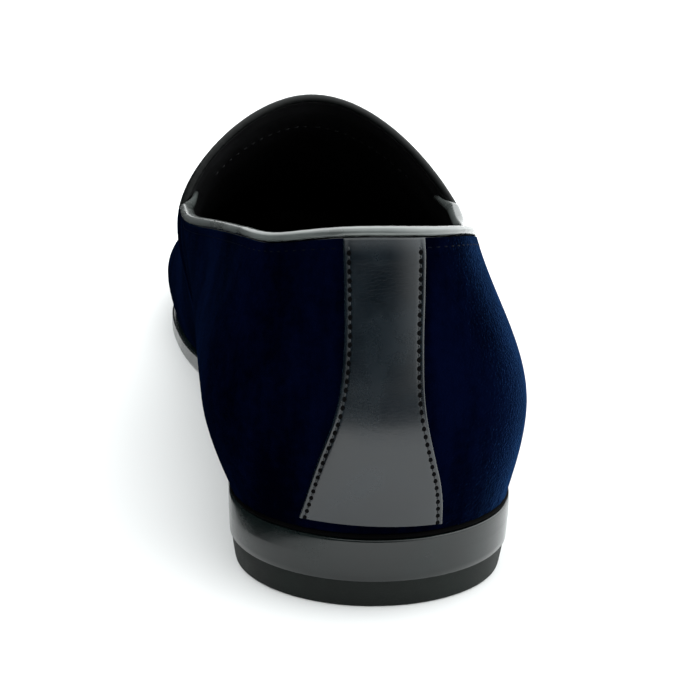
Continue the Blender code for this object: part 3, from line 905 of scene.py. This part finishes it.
# Plates under the foot: runs of stations, and an edge of (inset, share of the thickness)
plate = {
    "runs": ((0.0, 30.0, 50), (30.0, 174.0, 110), (174.0, 204.0, 24), (204.0, 232.0, 24),
             (232.0, 281.0, 60)),
    "rings": (0.99, 0.95, 0.85, 0.7, 0.5, 0.3, 0.12, 0.0),
    "corner": 0.2,              # below this share the edge is its lower corner
    "roundedFrom": (2.0, 4.0),  # rounded from this far before the breast, over this length
}
sole = {"edge": ((0.6, 1.0), (0.2, 0.985), (0.04, 0.94), (0.0, 0.85), (0.0, 0.5), (0.0, 0.17),
                 (0.08, 0.06), (0.35, 0.0))}
insole = {"thick": 3.0, "clearance": 0.5,
          "edge": ((1.6, 1.0), (0.7, 0.93), (0.2, 0.72), (0.0, 0.4), (0.0, 0.0))}


def spine(station):
    y = min(max(linePoint("seat", station)[1], last["heelTurn"]), last["toeTurn"])
    return np.array((-widths["ridgeIn"].at(y)[0], y))


def layPlate(shape, edge, spread, bottom, thick):
    before, over = plate["roundedFrom"]
    lines = []
    for station in bothSides(stationRuns(*plate["runs"])):
        middle = spine(station)
        cut = ease((abs(station) - last["breast"] + before) / over)
        rims = [outline(station, spread(station) - inset * (cut if level < plate["corner"] else 1.0))
                for inset, level in edge]
        points = [(middle + share * (rims[0] - middle), 1.0) for share in reversed(plate["rings"])]
        points += [(rim, level) for rim, (inset, level) in zip(rims, edge)]
        points += [(middle + share * (rims[-1] - middle), 0.0) for share in plate["rings"]]
        lines.append(shape.line([(p[0], p[1], bottom(p[1]) + level * thick) for p, level in points]))
    shape.bridge(lines, closed=True)


def makeOutsole():
    shape = Shape()
    layPlate(shape, sole["edge"], overhang, underside, last["sole"])
    shape.make("leather_outsole", finishLook("edgePaint"), "sole_leather", ["outsole"], 50.0)


def makeSock():
    shape = Shape()
    layPlate(shape, insole["edge"], lambda s: -(last["wall"] + insole["clearance"]),
             lambda y: underside(y) + last["sole"] + last["gap"], insole["thick"])
    shape.make("sock", finishLook("sockLeather"), "sock_leather", ["insole"])


# Heel layers, with the same kind of edge
stack = {
    "name": "heel_stack",
    "node": "heel_base",
    "finish": "heelPaint",
    "slot": "sole_leather",
    "bottom": last["topLift"] + last["gap"],
    "thick": last["heelBase"],
    "edge": ((0.06, 1.06), (0.08, 0.9), (0.14, 0.6), (0.22, 0.3), (0.32, 0.04), (0.5, 0.0)),
}
topLift = {
    "name": "rubber_lift",
    "node": "heel_top_lift",
    "finish": "heelRubber",
    "slot": "heel_rubber",
    "bottom": 0.0,
    "thick": last["topLift"],
    "edge": ((0.7, 1.045), (0.72, 0.98), (1.05, 0.6), (1.5, 0.15), (1.7, 0.04), (2.1, 0.0)),
}


def makeHeelLayer(layer):
    shape = Shape()
    back, front = last["heelTurn"], last["breast"]
    stations = stationRuns((-front, -back, 30), (-back, back, 120), (back, front, 30))
    loops = []
    for inset, level in layer["edge"]:
        ring = [outline(s, overhang(s) - inset) for s in stations]
        start, end = ring[0], ring[-1]
        for t in np.linspace(0, 1, 40)[1:-1]:
            hollow = last["breastHollow"] * (1 - (2 * t - 1) ** 2)
            ring.append(end + t * (start - end) - np.array((0.0, hollow)))
        loops.append(shape.line([(x, y, layer["bottom"] + level * layer["thick"]) for x, y in ring]))
    shape.ringed(loops)
    shape.make(layer["name"], finishLook(layer["finish"]), layer["slot"], [layer["node"]], 40.0)


# A thin black bead lies in the corner between the upper and the sole; its near-black, matte finish also
# paints the shade in that corner
bead = {"radius": 0.6, "out": 0.1, "up": 0.4, "sides": 8}


def makeBead():
    shape = Shape()
    loops = []
    for station in bothSides(stationRuns(*plate["runs"])):
        centre, outer = outline(station, bead["out"]), outline(station, bead["out"] + 1.0)
        way = np.array((*(outer - centre), 0.0))
        middle = np.array((*centre, linePoint("seat", station)[2] + bead["up"]))
        loops.append(shape.line(circle(middle, way, np.array((0.0, 0.0, 1.0)), bead["radius"],
                                       bead["sides"])))
    shape.bridge([loop + loop[:1] for loop in loops], closed=True)
    shape.make("seat_bead", finishLook("beadPaintAndShade"), "sole_leather")


# The stage: a white sheet, and dark cards that only the shoe's reflections show
sheet = {"size": 40.0, "colour": (0.9, 0.9, 0.9, 1.0), "rough": 0.9}
cards = (
    {"name": "darkCardLeft", "centre": (-0.13, -0.03, 0.045), "size": (0.155, 0.36, 0.09)},
    {"name": "darkCardBehind", "centre": (0.0, -1.3, 0.002), "size": (3.0, 2.0, 0.003)},
)
cardColour = (0.004, 0.004, 0.005, 1.0)


def makeFloor():
    material = Look("floorPaper").principled(
        {"Base Color": sheet["colour"], "Roughness": sheet["rough"], "Specular IOR Level": 0.0})
    bpy.ops.mesh.primitive_plane_add(size=sheet["size"])
    floor = bpy.context.object
    floor.name = "floorSheet"
    floor.data.materials.append(material)


def makeCards():
    material = Look("darkCard").principled({"Base Color": cardColour, "Roughness": 0.9})
    for size in cards:
        bpy.ops.mesh.primitive_cube_add(size=1.0, location=size["centre"])
        card = bpy.context.object
        card.name = size["name"]
        card.scale = size["size"]
        card.data.materials.append(material)
        card.visible_camera = False
        card.visible_shadow = False
        card.visible_diffuse = False


# Light from all round, by direction: strengths, and the share of the direction over which each comes in
studio = {
    "above": 1.8,
    "aboveOver": (0.25, 0.85),
    "right": 1.7,
    "rightOver": (0.1, 0.9),
    "front": 1.0,
    "behind": 0.02,
    "frontOver": (-0.1, 0.55),
    "tint": (0.97, 1.0, 1.0, 1.0),
}


def makeWorld():
    look = Look("studio", world=True)
    incoming = look.split("ShaderNodeSeparateXYZ", look.node("ShaderNodeNewGeometry", out="Incoming"))
    x, y, z = (part * -1.0 for part in incoming)
    above = look.spread(z, *studio["aboveOver"], (0.0, studio["above"]))
    right = look.spread(x, *studio["rightOver"], (0.0, studio["right"]))
    front = look.spread(y, *studio["frontOver"], (studio["behind"], studio["front"]))
    strength = front + above + right
    seen = look.node("ShaderNodeBackground", {}, {"Color": studio["tint"], "Strength": strength})
    look.node("ShaderNodeOutputWorld", {}, {"Surface": seen}, out=None)
    bpy.context.scene.world = look.material


# The camera keeps the photo's place and roll, turned to this shoe and zoomed in on it
photo = {
    "place": (-44.9, -381.5, 184.0),
    "pitch": 17.5,
    "right": 0.093,             # how far right the shoe's middle lies, as a share of the distance ahead
    "up": -0.011,
    "lens": 100.0,
    "sensor": 36.0,
    "near": 0.01,
}


def makeCamera():
    pitch = math.radians(photo["pitch"])
    ahead = Vector((0.0, math.cos(pitch), -math.sin(pitch)))
    right = Vector((1.0, 0.0, 0.0))
    ahead = (ahead + photo["right"] * right + photo["up"] * right.cross(ahead)).normalized()
    right = (right - right.dot(ahead) * ahead).normalized()
    up = right.cross(ahead)
    data = bpy.data.cameras.new("photoCamera")
    data.sensor_width = photo["sensor"]
    data.lens = photo["lens"]
    data.clip_start = photo["near"]
    camera = bpy.data.objects.new("photoCamera", data)
    bpy.context.scene.collection.objects.link(camera)
    turned = Matrix((right, up, -ahead)).transposed().to_4x4()
    camera.matrix_world = Matrix.Translation(Vector(origin) + Vector(photo["place"]) * mm) @ turned
    bpy.context.scene.camera = camera


bpy.context.scene.view_settings.view_transform = "Standard"
makeWorld()
makeFloor()
makeCards()
makeCamera()
print("camera, light and floor are set")

makeVelvet()
makeLining()
print("upper and lining are made")

makeToplineRoll()
makeTongueEdge()
makeArchStitches()
makeSeamStitches()
print("bindings are made")

strapField = StrapField()
makeStrap(strapField)
makeStrapStitches(strapField)
print("strap and stitches are made")

makeOutsole()
makeHeelLayer(stack)
makeHeelLayer(topLift)
makeBead()
makeSock()
print("sole, heel and sock are made")
